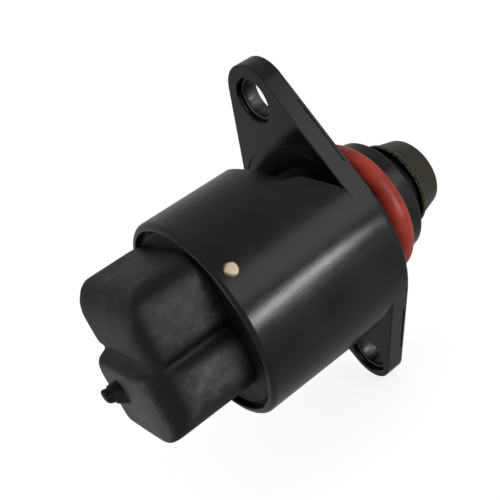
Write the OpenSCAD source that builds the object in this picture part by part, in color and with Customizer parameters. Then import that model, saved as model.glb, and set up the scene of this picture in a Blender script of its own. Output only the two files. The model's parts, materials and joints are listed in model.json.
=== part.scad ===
// Idle air control valve: a claw-pole stepper motor in a moulded housing turns a nut,
// and the nut drives a pintle in and out along the valve axis.
// Millimetres. +X runs along the axis to the pintle, +Z runs up through the two ear holes,
// and the origin is the centre of the mounting face.

/* [Housing] */
// Outer radius of the can
can_r = 17.5; // [17.3:0.1:19]
// Distance from the mounting face to the rear rim
can_l = 28.3; // [28:0.1:34]
// Wall of the can round the motor
can_wall = 2.3; // [1.8:0.1:2.6]
// Wall of the rim round the cover
rim_wall = 1.2; // [1:0.1:1.6]
// Depth of the rim in front of the cover's seat
rim_depth = 2.4; // [2:0.1:3]
// Rounding of the rear rim
rim_round = 0.9; // [0.3:0.1:1]
// Thickness of the flange
flange_t = 3.5; // [3:0.1:5]

/* [Mounting ears] */
// Height of the upper hole above the axis
upper_hole_z = 25.3; // [24:0.1:30]
// Tip radius of the upper ear
upper_ear_r = 6.1; // [5:0.1:7]
// Depth of the lower hole below the axis
lower_hole_z = 23.3; // [23:0.1:30]
// Tip radius of the lower ear
lower_ear_r = 5; // [4.6:0.1:7]
// Outer radius of the metal sleeves
sleeve_r = 3.8; // [3.5:0.1:4]
// Clearance radius for the screws
screw_hole_r = 3.1; // [2.6:0.1:3.2]
// Ledge left above each sleeve
sleeve_ledge = 0.8; // [0.4:0.1:1]
// Length of the screw head relief behind the flange
relief_l = 6.6; // [5:0.1:6.8]
// Depth of the relief below the can's surface
relief_depth = 2.6; // [1.5:0.1:2.7]
// Drop of the relief beside the flange
relief_drop = 4.6; // [3:0.1:5]

/* [Nose] */
// Outer radius of the nose
nose_r = 10.5; // [10.2:0.1:11]
// Length of the nose
nose_l = 10.9; // [10.6:0.1:12]
// Wall of the nose round the pintle
nose_wall = 1.8; // [1.5:0.05:1.9]
// Distance from the mounting face to the ring's middle
ring_x = 6; // [4:0.1:6.2]
// Section radius of the sealing ring
ring_section_r = 2; // [1.5:0.1:2.2]
// Depth of the sealing ring's groove
ring_groove = 2.1; // [1.6:0.1:2.2]
// Wall between the sealing ring's groove and the throat
throat_wall = 1.5; // [1.2:0.1:2]

/* [Connector] */
// Thickness of the cover's disc
cover_t = 1.6; // [1.2:0.1:1.8]
// Width of the open ring between cover and rim
cover_gap = 0.55; // [0.3:0.05:0.8]
// Distance from the mounting face to the back of the upper block
upper_back = 41.2; // [41:0.1:44]
// Distance from the mounting face to the back of the lower block
lower_back = 43.2; // [42:0.1:46]
// Distance from the axis to the closed side of the blocks
closed_side = 11.6; // [11:0.1:12]
// Distance from the axis to the mouth of the socket
mouth_side = 10.5; // [10:0.1:13]
// Height of the upper block at the mouth
upper_top = 12.7; // [12.3:0.1:14]
// Depth of the lower block at the mouth
lower_bottom = 12.6; // [12.2:0.1:14]
// Height of the joint between the two blocks
block_joint = 1.2; // [0.6:0.1:2.4]
// Draft of the upper block's top, in degrees
block_draft = 6.5; // [0:0.5:7]
// Draft of the lower block's bottom, in degrees
bottom_draft = 5; // [0:0.5:6]
// Rounding of the lower block's closed rear corner
corner_round = 10; // [5:0.5:10]
// Wall round the socket
socket_wall = 2; // [1.4:0.1:2.2]
// Depth of the socket
socket_depth = 14.5; // [12:0.1:16]
// Distance from the socket's front wall to the row of terminals
row_inset = 5; // [4.5:0.1:5.5]
// Distance from the mouth back to the terminals' tips
tip_inset = 4.5; // [3:0.1:6]
// Distance from the closed side to the terminals' legs
leg_inset = 4.5; // [3.8:0.1:5]
// Number of terminals
terminals = 4; // [2:1:4]
// Spacing of the terminals
terminal_pitch = 5; // [4:0.1:5.2]
// Width of a terminal
terminal_w = 1; // [0.8:0.1:1.2]
// Thickness of a terminal
terminal_t = 0.8; // [0.6:0.1:1]
// Length of the lug on the back
lug_l = 2.9; // [1:0.1:4]
// Base radius of the lug
lug_r = 1.8; // [1:0.1:2]

/* [Motor] */
// Radius of the magnet, as a share of the can's
magnet_share = 0.383; // [0.36:0.001:0.394]
// Wall of the magnet, as a share of the space between the screw and the magnet's outside
magnet_fill = 0.4184; // [0.36:0.0002:0.43]
// Gap between the magnet and the claws
air_gap = 0.3; // [0.25:0.05:0.5]
// Sheet thickness of the stator
sheet_t = 0.8; // [0.6:0.1:1]
// Claws on each stator plate
claws = 6; // [4:1:8]
// Wall of the bobbins
bobbin_wall = 0.6; // [0.4:0.1:0.8]
// Share of the bobbin's depth that the coil fills
coil_fill = 0.84; // [0.7:0.01:0.92]
// Wall of the rotor hub, as a share of the same space
hub_fill = 0.2324; // [0.2:0.0002:0.26]
// Length of the nut
nut_l = 11; // [9.5:0.1:11.5]

/* [Bearing] */
// Outer radius of the ball bearing
bearing_r = 8; // [7.8:0.1:8.6]
// Bore of the ball bearing, as a share of its outer radius
bore_share = 0.5; // [0.46:0.01:0.52]
// Width of the ball bearing
bearing_w = 5; // [4:0.1:5]
// Number of balls
balls = 8; // [6:1:9]
// Radius of a ball, as a share of the space between bore and outside
ball_share = 0.2975; // [0.26:0.0025:0.31]
// Thickness of the wave washer
washer_t = 0.3; // [0.2:0.05:0.5]

/* [Screw and pintle] */
// Radius of the lead screw
lead_r = 2.4; // [2.2:0.05:2.5]
// Half the width across the screw's flats
flat_half = 2; // [1.8:0.05:2.1]
// Travel of the pintle each way from the middle
travel = 4; // [2:0.5:4]
// Radius of the pintle's band
pintle_r = 8.1; // [7.4:0.05:8.2]
// Distance from the mounting face to the front of the band
band_front = 14.8; // [14.6:0.1:16]
// Length of the band
band_l = 1; // [0.8:0.1:1.4]
// Length of the neck behind the band
neck_l = 0.8; // [0.5:0.1:1.2]
// Radius of the pintle's tip
tip_r = 6.3; // [4:0.1:6.5]
// Distance from the mounting face to the end of the tip
tip_x = 19.7; // [19:0.1:22]

/* [Sealing bead] */
// Radius of the bead on the can
bead_r = 0.8; // [0.5:0.1:1]
// Angle of the bead above the closed side, in degrees
bead_angle = 34; // [0:1:60]

/* [Hidden] */
$fn = 96;
// Clearance of parts that sit tight in one another
fit = 0.02;
// Clearance of parts that turn or slide on one another
running = 0.05;
// Clearance of parts that only lie next to one another
loose = 0.1;
// Reach of a cut past the surface that it opens
past = 1;

// Stations along the axis, from the rear rim to the front
rim_x = -can_l;
seat_x = rim_x + rim_depth;
cover_rear_x = seat_x - cover_t;
plate_t = sheet_t;
stator_rear_x = seat_x + plate_t;
bearing_front_x = -flange_t - 1.8 - washer_t;
bearing_rear_x = bearing_front_x - bearing_w;
cavity_front_x = bearing_rear_x - 0.2;
stator_front_x = cavity_front_x - loose;
stator_mid_x = (stator_rear_x + stator_front_x) / 2;
half_l = stator_mid_x - stator_rear_x;
bush_front_x = ring_x - 2.6;
bush_flange_x = bearing_front_x + washer_t;
bush_seat_x = bush_flange_x + 0.7;
pintle_rear_x = band_front - band_l - neck_l;
nose_bore_x = pintle_rear_x - travel - loose;
screw_front_x = tip_x - 2.4;
screw_rear_x = stator_rear_x + travel - 0.9;
flats_rear_x = bush_flange_x - travel - 0.7;
nut_rear_x = stator_rear_x + 1.6;

// Radii
mouth_r = can_r - rim_wall;
cover_r = mouth_r - cover_gap;
cavity_r = can_r - can_wall;
stator_r = cavity_r - loose;
magnet_r = can_r * magnet_share;
claw_in_r = magnet_r + air_gap;
claw_out_r = claw_in_r + sheet_t;
bobbin_in_r = claw_out_r + loose;
coil_in_r = bobbin_in_r + bobbin_wall + fit;
bobbin_out_r = stator_r - sheet_t - loose;
coil_out_r = coil_in_r + (bobbin_out_r - coil_in_r) * coil_fill;
rotor_depth = magnet_r - lead_r;
hub_r = magnet_r - rotor_depth * magnet_fill;
nut_r = hub_r - rotor_depth * hub_fill;
bearing_bore_r = bearing_r * bore_share;
bearing_depth = bearing_r - bearing_bore_r;
ball_r = bearing_depth * ball_share;
boss_r = lead_r + 1.2;
rear_bush_r = boss_r + running + 1.35;
bush_r = bearing_bore_r + bearing_depth * 0.4;
nose_bore_r = nose_r - nose_wall;
ring_groove_r = nose_r - ring_groove;
throat_r = ring_groove_r - throat_wall;
ball_pitch_r = (bearing_r + bearing_bore_r) / 2;
raceway_r = ball_r + 0.06;
race_wall = bearing_depth * 0.3;
shoulder_r = bearing_bore_r + race_wall;

// Places in the connector
socket_front_x = cover_rear_x - 3;
terminal_x = socket_front_x - row_inset;
socket_back_y = mouth_side - socket_depth;
leg_y = -closed_side + leg_inset;
terminal_tip_y = mouth_side - tip_inset;

// A cylinder along +X from a station
module rod(x, l, r) {
    translate([x, 0, 0]) rotate([0, 90, 0]) cylinder(h = l, r = r);
}

// A tube along +X from a station
module tube(x, l, outer, inner) {
    difference() {
        rod(x, l, outer);
        rod(x - past, l + 2 * past, inner);
    }
}

// A profile of [station, radius] points turned about the X axis
module turned(points) {
    rotate([0, 90, 0]) rotate_extrude() polygon([for (p = points) [p[1], p[0]]]);
}

// A ring of round section about the X axis
module torus(x, ring, section) {
    translate([x, 0, 0]) rotate([0, 90, 0]) rotate_extrude() translate([ring, 0]) circle(r = section);
}

// A flat shape drawn in Y and Z, made thick along +X
module plate(x, t) {
    translate([x, 0, 0]) rotate([90, 0, 90]) linear_extrude(height = t) children();
}

// A flat shape drawn in X and Z, made deep from one Y to another
module side(y0, y1) {
    translate([0, y1, 0]) rotate([90, 0, 0]) linear_extrude(height = y1 - y0) children();
}

function unit(v) = v / norm(v);

// A convex polygon whose corners are rounded by the given radii
module rounded(points, radii) {
    n = len(points);
    before = [for (i = [0:n - 1]) unit(points[(i + n - 1) % n] - points[i])];
    after = [for (i = [0:n - 1]) unit(points[(i + 1) % n] - points[i])];
    half = [for (i = [0:n - 1]) acos(before[i] * after[i]) / 2];
    polygon([for (i = [0:n - 1]) each radii[i] > 0
        ? [points[i] + before[i] * radii[i] / tan(half[i]), points[i] + after[i] * radii[i] / tan(half[i])]
        : [points[i]]]);
    for (i = [0:n - 1]) {
        if (radii[i] > 0) {
            translate(points[i] + unit(before[i] + after[i]) * radii[i] / sin(half[i]))
                circle(r = radii[i]);
        }
    }
}

// One ear: a tip circle joined to the flange's disc by its two tangents
module ear(hole_z, tip) {
    lean = acos((can_r - tip) / hole_z);
    polygon([[can_r * sin(lean), can_r * cos(lean)], [tip * sin(lean), hole_z + tip * cos(lean)],
        [-tip * sin(lean), hole_z + tip * cos(lean)], [-can_r * sin(lean), can_r * cos(lean)]]);
    translate([0, hole_z]) circle(r = tip);
}

module flange_outline() {
    circle(r = can_r);
    ear(upper_hole_z, upper_ear_r);
    mirror([0, 1]) ear(lower_hole_z, lower_ear_r);
}

// Room for a screw head in the can's surface: a shelf that falls away beside the flange
module relief_profile(front_x) {
    rear_x = -flange_t - relief_l;
    shelf_z = can_r - relief_depth;
    low_z = shelf_z - 0.7;
    fall_x = rear_x + relief_l * 0.45;
    soft = 1;
    polygon(concat(
        [[rear_x - soft, can_r + past]],
        [for (t = [0:15:90]) [rear_x - soft + soft * sin(t), can_r - soft + soft * cos(t)]],
        [[rear_x, shelf_z]],
        [for (t = [0:15:90])
            [fall_x + (-flange_t - fall_x) * sin(t), low_z - relief_drop + relief_drop * cos(t)]],
        [[front_x, low_z - relief_drop], [front_x, can_r + past]]));
}

module relief() {
    floor_r = can_r - relief_depth - 2.5;
    bite = 0.15;
    difference() {
        union() {
            side(-can_r, can_r) relief_profile(-flange_t);
            intersection() {
                side(-can_r, can_r) relief_profile(-flange_t + bite);
                rod(-flange_t - relief_l, relief_l + bite, can_r - 0.05);
            }
        }
        rod(-flange_t - relief_l - 3, relief_l + 6, floor_r);
    }
}

module can() {
    rod(rim_x + rim_round, can_l - rim_round - flange_t, can_r);
    rod(rim_x, rim_round + past, can_r - rim_round);
    torus(rim_x + rim_round, can_r - rim_round, rim_round);
}

module nose() {
    edge = 0.35;
    turned([[-past, 0], [-past, nose_r], [nose_l - edge, nose_r], [nose_l, nose_r - edge], [nose_l, 0]]);
}

module bead_place() {
    translate([seat_x + 0.45, 0, 0]) rotate([-bead_angle, 0, 0]) rotate([90, 0, 0]) children();
}

module housing() {
    color([0.09, 0.09, 0.09]) difference() {
        union() {
            can();
            plate(-flange_t, flange_t) flange_outline();
            nose();
        }
        rod(rim_x - past, rim_depth + past, mouth_r);
        rod(seat_x - past, cavity_front_x - seat_x + past, cavity_r);
        rod(cavity_front_x - past, bush_flange_x - cavity_front_x + past, bearing_r + fit);
        rod(bush_flange_x - past, bush_seat_x - bush_flange_x + past, bush_r + 0.6 + fit);
        rod(bush_seat_x - past, bush_front_x - bush_seat_x + 2 * past, bush_r + fit);
        rod(bush_front_x, nose_l - bush_front_x, throat_r);
        rod(nose_bore_x, nose_l - nose_bore_x + past, nose_bore_r);
        tube(ring_x - ring_section_r, 2 * ring_section_r, nose_r + past, ring_groove_r);
        translate([0, 0, upper_hole_z]) rod(-flange_t - past, flange_t + 2 * past, sleeve_r);
        translate([0, 0, -lower_hole_z]) rod(-flange_t - past, flange_t + 2 * past, sleeve_r);
        relief();
        mirror([0, 0, 1]) relief();
        bead_place() translate([0, 0, can_r - 0.7]) cylinder(h = 2, r = bead_r + fit);
    }
}

module sleeve(z) {
    color([0.35, 0.34, 0.33]) translate([0, 0, z])
        tube(-flange_t + sleeve_ledge, flange_t - sleeve_ledge, sleeve_r - fit, screw_hole_r);
}

module upper_sleeve() {
    sleeve(upper_hole_z);
}

module lower_sleeve() {
    sleeve(-lower_hole_z);
}

module o_ring() {
    color([0.8, 0.25, 0.17]) torus(ring_x, ring_groove_r + fit + ring_section_r, ring_section_r);
}

module sealing_bead() {
    color([0.88, 0.8, 0.66]) bead_place() translate([0, 0, can_r - 0.7]) {
        cylinder(h = 0.6, r = bead_r);
        translate([0, 0, 0.6]) intersection() {
            sphere(r = bead_r);
            cylinder(h = 0.3, r = bead_r);
        }
    }
}

module cover_seal() {
    color([0.14, 0.14, 0.14]) tube(seat_x - 1.1, 1.1, mouth_r - fit, cover_r + fit);
}

// The blocks are each the common part of three outlines, seen along Y, Z and X
module upper_block() {
    near_top = upper_top - (mouth_side + closed_side) * tan(block_draft);
    front_x = cover_rear_x + 0.5;
    intersection() {
        side(-closed_side, mouth_side)
            rounded([[-upper_back, block_joint], [front_x, block_joint], [front_x, upper_top],
                [-upper_back, upper_top]], [0, 0, 0, 4.5]);
        linear_extrude(height = upper_top + past)
            rounded([[-upper_back, -closed_side], [front_x, -closed_side], [front_x, mouth_side],
                [-upper_back, mouth_side]], [3.5, 0, 0, 0.8]);
        plate(-upper_back - past, upper_back)
            rounded([[-closed_side, block_joint], [mouth_side, block_joint],
                [mouth_side, upper_top], [-closed_side, near_top]], [1.5, 0, 0.5, 4.2]);
    }
}

module lower_block() {
    near_bottom = -lower_bottom + (mouth_side + closed_side) * tan(bottom_draft);
    front_x = cover_rear_x + 0.5;
    height = lower_bottom + block_joint + 2 * past;
    intersection() {
        side(-closed_side, mouth_side)
            rounded([[-lower_back, -lower_bottom], [front_x, -lower_bottom], [front_x, block_joint],
                [-lower_back, block_joint]], [1.6, 0, 0, 1.5]);
        translate([0, 0, -lower_bottom - past]) linear_extrude(height = height)
            rounded([[-lower_back, -closed_side], [front_x, -closed_side], [front_x, mouth_side],
                [-lower_back, mouth_side]], [corner_round, 0, 0, 0.8]);
        plate(-lower_back - past, lower_back)
            rounded([[-closed_side, near_bottom], [mouth_side, -lower_bottom],
                [mouth_side, block_joint], [-closed_side, block_joint]], [3.5, 0.5, 0, 1.5]);
    }
}

// The connector stays inside the rim where it passes through it
module rim_keepout() {
    difference() {
        rod(rim_x - 0.3, can_l, can_r * 2);
        rod(rim_x - 0.3 - past, can_l + 2 * past, cover_r);
    }
}

module lug() {
    translate([-lower_back, 2, -3]) rotate([0, -90, 0]) {
        translate([0, 0, -0.5]) cylinder(h = lug_l * 0.7 + 0.5, r1 = lug_r + 0.1, r2 = lug_r * 0.7);
        translate([lug_r * 0.1, 0, lug_l * 0.7])
            cylinder(h = lug_l * 0.3, r1 = lug_r * 0.5, r2 = lug_r * 0.3);
    }
}

// The socket is wider at the back of the lower block, which keys the plug
module socket() {
    top = upper_top - socket_wall - 0.5;
    bottom = -lower_bottom + socket_wall + socket_depth * tan(bottom_draft) / 2;
    back_x = -upper_back + socket_wall;
    side(socket_back_y, mouth_side + past) {
        rounded([[back_x, bottom], [socket_front_x, bottom], [socket_front_x, top], [back_x, top]],
            [0, 0.8, 0.8, 2.5]);
        rounded([[-lower_back + socket_wall, bottom], [back_x + past, bottom],
            [back_x + past, block_joint - socket_wall],
            [-lower_back + socket_wall, block_joint - socket_wall]], [1.2, 0, 0, 0.8]);
    }
}

// Terminal number i of the row: a pin in the socket and a leg through the cover
module terminal_shape(i) {
    z = ((terminals - 1) / 2 - i) * terminal_pitch;
    translate([terminal_x - terminal_t / 2, 0, z - terminal_w / 2]) {
        translate([0, leg_y - terminal_t / 2, 0])
            cube([terminal_t, terminal_tip_y - 1 - leg_y + terminal_t / 2, terminal_w]);
        translate([0, terminal_tip_y - 1, 0]) linear_extrude(height = terminal_w)
            polygon([[0, 0], [terminal_t, 0], [terminal_t * 0.7, 1], [terminal_t * 0.3, 1]]);
        translate([0, leg_y - terminal_t / 2, 0])
            cube([seat_x + plate_t / 2 - terminal_x + terminal_t / 2, terminal_t, terminal_w]);
    }
}

module terminal(i) {
    color([0.75, 0.72, 0.6]) terminal_shape(i);
}

module terminal_1() {
    terminal(0);
}

module terminal_2() {
    terminal(1);
}

module terminal_3() {
    terminal(2);
}

module terminal_4() {
    terminal(3);
}

module connector_cover() {
    color([0.13, 0.13, 0.13]) difference() {
        union() {
            rod(cover_rear_x, cover_t, cover_r);
            difference() {
                union() {
                    upper_block();
                    lower_block();
                }
                rim_keepout();
            }
            lug();
        }
        socket();
        rod(seat_x - 2.5, 2.5 + past, rear_bush_r + fit);
        for (i = [0:terminals - 1]) {
            terminal_shape(i);
        }
    }
}

module end_plate() {
    slot_h = (terminals - 1) * terminal_pitch + terminal_w + 2;
    color([0.6, 0.6, 0.6]) difference() {
        rod(seat_x, plate_t, stator_r);
        rod(seat_x - past, plate_t + 2 * past, rear_bush_r + fit);
        translate([seat_x - past, leg_y - terminal_t / 2 - 0.5, -slot_h / 2])
            cube([plate_t + 2 * past, terminal_t + 1, slot_h]);
    }
}

module rear_bush() {
    color([0.7, 0.55, 0.3]) tube(seat_x - 1, 1 + plate_t, rear_bush_r, boss_r + running);
}

// Claws point along +X from a plate at a station, turned by an angle
module claw_ring(x, l, start) {
    pitch = 2 * PI * (claw_in_r + claw_out_r) / 2 / claws;
    base = pitch * 0.54;
    tip = pitch * 0.28;
    intersection() {
        tube(x, l, claw_out_r, claw_in_r);
        for (i = [0:claws - 1]) {
            rotate([start + i * 360 / claws, 0, 0]) translate([x, 0, 0])
                linear_extrude(height = claw_out_r + past)
                    polygon([[0, -base / 2], [l, -tip / 2], [l, tip / 2], [0, base / 2]]);
        }
    }
}

// A stator half's plate with its claws; the plate's outer face is at x
module pole_plate(x) {
    tube(x, sheet_t, stator_r, claw_in_r);
    claw_ring(x, half_l - sheet_t - 0.5, 0);
}

// The same with a wall round the coil
module stator_cup(x) {
    pole_plate(x);
    tube(x, half_l - sheet_t, stator_r, stator_r - sheet_t);
}

module rear_stator_cup() {
    color([0.62, 0.63, 0.65]) stator_cup(stator_rear_x);
}

module rear_pole_plate() {
    color([0.55, 0.56, 0.58]) translate([stator_mid_x, 0, 0]) mirror([1, 0, 0])
        rotate([180 / claws, 0, 0]) pole_plate(0);
}

module front_pole_plate() {
    color([0.55, 0.56, 0.58]) translate([stator_mid_x, 0, 0]) rotate([90 / claws, 0, 0]) pole_plate(0);
}

module front_stator_cup() {
    color([0.62, 0.63, 0.65]) translate([stator_front_x, 0, 0]) mirror([1, 0, 0])
        rotate([270 / claws, 0, 0]) stator_cup(0);
}

// A spool between the two plates of a stator half
module bobbin(x) {
    l = half_l - 2 * sheet_t;
    color([0.85, 0.83, 0.75]) difference() {
        rod(x, l, bobbin_out_r);
        rod(x - past, l + 2 * past, bobbin_in_r);
        tube(x + bobbin_wall, l - 2 * bobbin_wall, stator_r, bobbin_in_r + bobbin_wall);
    }
}

module coil(x) {
    color([0.72, 0.4, 0.2])
        tube(x + bobbin_wall, half_l - 2 * sheet_t - 2 * bobbin_wall, coil_out_r, coil_in_r);
}

module rear_bobbin() {
    bobbin(stator_rear_x + sheet_t);
}

module front_bobbin() {
    bobbin(stator_mid_x + sheet_t);
}

module rear_coil() {
    coil(stator_rear_x + sheet_t);
}

module front_coil() {
    coil(stator_mid_x + sheet_t);
}

module rotor_magnet() {
    x = stator_rear_x + 1.1;
    color([0.2, 0.2, 0.21]) tube(x, bearing_rear_x - 0.8 - x, magnet_r, hub_r + fit);
}

// The hub carries the magnet outside and the nut inside; a boss runs in the rear bush
// and a journal in the ball bearing
module rotor_hub() {
    boss_front_x = stator_rear_x + 0.8;
    journal_front_x = bearing_front_x - 0.2;
    color([0.9, 0.89, 0.85]) difference() {
        union() {
            rod(seat_x - 0.8, boss_front_x - seat_x + 0.8 + past, boss_r);
            rod(boss_front_x, bearing_rear_x - boss_front_x - 0.8, hub_r);
            rod(bearing_rear_x - 0.8, 0.8, shoulder_r);
            rod(bearing_rear_x - past, journal_front_x - bearing_rear_x + past, bearing_bore_r - fit);
        }
        rod(nut_rear_x, nut_l, nut_r);
        rod(seat_x - 2 * past, journal_front_x - seat_x + 3 * past, lead_r + 0.25);
    }
}

module rotor_nut() {
    color([0.75, 0.6, 0.3]) tube(nut_rear_x, nut_l, nut_r - fit, lead_r + running);
}

module bearing_outer_ring() {
    color([0.75, 0.75, 0.77]) difference() {
        tube(bearing_rear_x, bearing_w, bearing_r, bearing_r - race_wall);
        torus(bearing_rear_x + bearing_w / 2, ball_pitch_r, raceway_r);
    }
}

module bearing_inner_ring() {
    color([0.75, 0.75, 0.77]) difference() {
        tube(bearing_rear_x, bearing_w, shoulder_r, bearing_bore_r);
        torus(bearing_rear_x + bearing_w / 2, ball_pitch_r, raceway_r);
    }
}

module at_balls() {
    for (i = [0:balls - 1]) {
        rotate([i * 360 / balls, 0, 0]) translate([bearing_rear_x + bearing_w / 2, 0, ball_pitch_r])
            children();
    }
}

module bearing_balls() {
    color([0.85, 0.85, 0.87]) at_balls() sphere(r = ball_r);
}

module bearing_cage() {
    space = ball_pitch_r - shoulder_r;
    color([0.7, 0.6, 0.35]) difference() {
        tube(bearing_rear_x + 0.6, bearing_w - 1.2, ball_pitch_r + space * 0.45, ball_pitch_r - space * 0.45);
        at_balls() sphere(r = ball_r + fit);
    }
}

module wave_washer() {
    color([0.6, 0.6, 0.62]) tube(bearing_front_x, washer_t, bearing_r - loose, bush_r + 0.7 + loose);
}

// The bush guides the screw by two flats, so that the screw slides and can't turn
module guide_bush() {
    color([0.25, 0.25, 0.26]) difference() {
        union() {
            rod(bush_flange_x, bush_seat_x - bush_flange_x, bush_r + 0.6);
            rod(bush_flange_x, bush_front_x - bush_flange_x, bush_r);
        }
        plate(bush_flange_x - past, bush_front_x - bush_flange_x + 2 * past) intersection() {
            circle(r = lead_r + running);
            square([4 * lead_r, 2 * (flat_half + running)], center = true);
        }
    }
}

module lead_screw() {
    color([0.7, 0.7, 0.7]) {
        rod(screw_rear_x, flats_rear_x - screw_rear_x, lead_r);
        plate(flats_rear_x, screw_front_x - flats_rear_x) intersection() {
            circle(r = lead_r);
            square([4 * lead_r, 2 * flat_half], center = true);
        }
    }
}

module pintle_head() {
    band_rear = band_front - band_l;
    neck_r = pintle_r - 0.8;
    cone_r = pintle_r - 0.6;
    edge = 0.15;
    soft = 0.9;
    boss = lead_r + 1.4;
    lean = atan((cone_r - tip_r) / (tip_x - band_front));
    color([0.42, 0.4, 0.33]) difference() {
        turned(concat(
            [[pintle_rear_x, 0], [pintle_rear_x, neck_r], [band_rear, neck_r], [band_rear, pintle_r - edge],
                [band_rear + edge, pintle_r], [band_front - edge, pintle_r - edge],
                [band_front, pintle_r - 2 * edge], [band_front, cone_r]],
            [for (t = [lean:11:90]) [tip_x - soft + soft * sin(t), tip_r - soft + soft * cos(t)]],
            [[tip_x, tip_r - soft], [tip_x, 0]]));
        tube(pintle_rear_x - past, 2.4 + past, neck_r - 0.8, boss);
        rod(pintle_rear_x - past, screw_front_x - pintle_rear_x + past, lead_r + fit);
    }
}

housing();
upper_sleeve();
lower_sleeve();
o_ring();
connector_cover();
terminal_1();
terminal_2();
terminal_3();
terminal_4();
cover_seal();
sealing_bead();
end_plate();
rear_bush();
rear_stator_cup();
rear_pole_plate();
front_pole_plate();
front_stator_cup();
rear_bobbin();
front_bobbin();
rear_coil();
front_coil();
rotor_magnet();
rotor_hub();
rotor_nut();
bearing_outer_ring();
bearing_inner_ring();
bearing_balls();
bearing_cage();
wave_washer();
guide_bush();
lead_screw();
pintle_head();
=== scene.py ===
"""Looks of an idle air control valve: the moulded can and connector, the sealing ring and the pintle."""
import json
import logging
import math
from dataclasses import dataclass, field
from enum import Enum
from typing import Callable, Iterable, Sequence

import bmesh
import bpy
from mathutils import Matrix, Quaternion, Vector, noise


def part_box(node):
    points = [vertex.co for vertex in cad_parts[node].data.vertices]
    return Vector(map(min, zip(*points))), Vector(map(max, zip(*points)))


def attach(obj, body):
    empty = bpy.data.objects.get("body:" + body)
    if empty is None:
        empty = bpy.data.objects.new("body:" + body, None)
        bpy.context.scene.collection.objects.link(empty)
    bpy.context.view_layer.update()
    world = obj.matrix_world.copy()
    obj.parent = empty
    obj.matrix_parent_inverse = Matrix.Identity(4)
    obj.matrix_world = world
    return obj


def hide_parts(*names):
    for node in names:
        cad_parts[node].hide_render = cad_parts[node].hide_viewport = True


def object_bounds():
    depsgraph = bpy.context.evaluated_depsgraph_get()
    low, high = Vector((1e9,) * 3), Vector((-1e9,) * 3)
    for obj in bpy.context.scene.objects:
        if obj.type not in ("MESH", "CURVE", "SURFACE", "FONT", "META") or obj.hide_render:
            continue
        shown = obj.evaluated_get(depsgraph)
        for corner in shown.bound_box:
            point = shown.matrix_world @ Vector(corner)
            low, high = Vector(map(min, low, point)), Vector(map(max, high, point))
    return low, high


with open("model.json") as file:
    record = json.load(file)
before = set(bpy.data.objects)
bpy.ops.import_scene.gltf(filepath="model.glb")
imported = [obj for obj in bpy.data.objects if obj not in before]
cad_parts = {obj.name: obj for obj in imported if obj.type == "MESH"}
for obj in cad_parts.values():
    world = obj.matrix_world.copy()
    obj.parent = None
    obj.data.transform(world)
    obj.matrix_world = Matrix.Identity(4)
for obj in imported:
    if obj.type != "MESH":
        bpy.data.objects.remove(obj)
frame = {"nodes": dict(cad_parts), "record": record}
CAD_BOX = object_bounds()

LOG = logging.getLogger("idle_air_valve")
MM = 0.001
# The connector's attribute of painted light and shade: lit flat faces lighter, rounded corners, the groove and the
# disc darker.
PAINTED_LIGHT_ATTR = "painted_light"
# Half the length of a solid that reaches right through the part.
THROUGH_MM = 20.0


class Cut(Enum):
    """How one solid works on another."""

    ADD = "UNION"
    TAKE = "DIFFERENCE"
    COMMON = "INTERSECT"


class Plane(Enum):
    """The plane that an outline is drawn in."""

    SIDE = "XZ"
    PLAN = "XY"
    SECTION = "YZ"

    def place(self, first: float, second: float, depth: float) -> Vector:
        """A point of an outline.

        Args:
            first: the coordinate along the plane's first axis, in millimetres.
            second: the coordinate along its second axis.
            depth: the coordinate along the axis that the plane stands across.

        Returns:
            The point, in metres.
        """
        spot = dict(zip(self.value, (first, second)))
        return Vector([spot.get(axis, depth) for axis in "XYZ"]) * MM


class Signal:
    """A value in a material's node tree that can be used in arithmetic."""

    def __init__(self, tree: bpy.types.NodeTree, socket: bpy.types.NodeSocket) -> None:
        """Keeps the socket that carries the value.

        Args:
            tree: the node tree that the socket is in.
            socket: the output socket.
        """
        self.tree = tree
        self.socket = socket

    def math(self, operation: str, *values: "Signal | float") -> "Signal":
        """Adds a Math node.

        Args:
            operation: the node's operation.
            values: its inputs in order.

        Returns:
            The node's result.
        """
        node = self.tree.nodes.new("ShaderNodeMath")
        node.operation = operation
        for place, value in zip(node.inputs, values):
            if isinstance(value, Signal):
                self.tree.links.new(value.socket, place)
            else:
                place.default_value = value
        return Signal(self.tree, node.outputs[0])

    def __add__(self, other: "Signal | float") -> "Signal":
        """The sum."""
        return self.math("ADD", self, other)

    __radd__ = __add__

    def __sub__(self, other: "Signal | float") -> "Signal":
        """The difference."""
        return self.math("SUBTRACT", self, other)

    def __rsub__(self, other: "Signal | float") -> "Signal":
        """The difference from a number."""
        return self.math("SUBTRACT", other, self)

    def __mul__(self, other: "Signal | float") -> "Signal":
        """The product."""
        return self.math("MULTIPLY", self, other)

    __rmul__ = __mul__

    def __abs__(self) -> "Signal":
        """The size without its sign."""
        return self.math("ABSOLUTE", self)

    def ramp(self, low: float, high: float, to_low: float = 0.0, to_high: float = 1.0) -> "Signal":
        """A smooth step from one level to another.

        Args:
            low: the value where the step starts.
            high: the value where it ends.
            to_low: the result at and below the start.
            to_high: the result at and past the end.

        Returns:
            The stepped value.
        """
        node = self.tree.nodes.new("ShaderNodeMapRange")
        node.interpolation_type = "SMOOTHSTEP"
        self.tree.links.new(self.socket, node.inputs["Value"])
        for name, value in (("From Min", low), ("From Max", high), ("To Min", to_low), ("To Max", to_high)):
            node.inputs[name].default_value = value
        return Signal(self.tree, node.outputs["Result"])


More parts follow.
